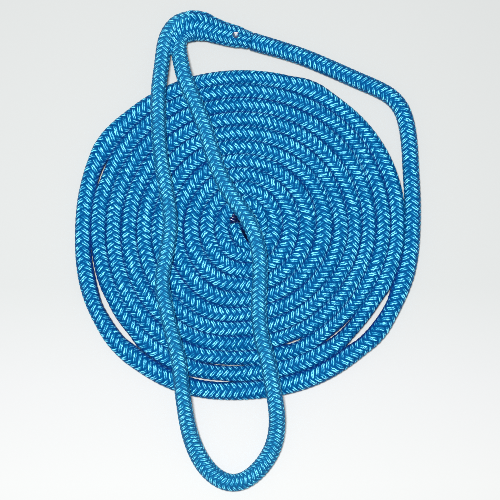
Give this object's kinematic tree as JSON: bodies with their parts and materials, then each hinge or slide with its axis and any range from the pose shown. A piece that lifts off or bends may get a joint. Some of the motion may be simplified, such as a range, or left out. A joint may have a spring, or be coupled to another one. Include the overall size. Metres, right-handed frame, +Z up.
{
  "type": "coiled dock line",
  "caption": "Double-braided mooring rope laid flat in a spiral coil, with the spliced eye of its standing end laid across the coil.",
  "frame": {"origin": "middle of the coil's flat underside, on the surface that the line lies on", "axes": "+Z up; +Y in the plane of the coil, from its middle towards the splice; +X to the right seen from above"},
  "size_m": [0.2294, 0.3198, 0.0206],
  "materials": {
    "cover_braid": "blue braided nylon with a filament sheen",
    "core_braid": "undyed braided nylon",
    "melted_nylon": "melted and set"
  },
  "bodies": {
    "root": {"coil": "cover_braid", "standing_cover": "cover_braid", "standing_core": "core_braid", "splice_cover": "cover_braid", "splice_core": "core_braid", "core_tail_end": "core_braid", "eye_cover": "cover_braid", "eye_core": "core_braid", "bitter_end_cover": "cover_braid", "bitter_end_core": "core_braid", "bitter_end_seal": "melted_nylon"}
  },
  "joints": []
}
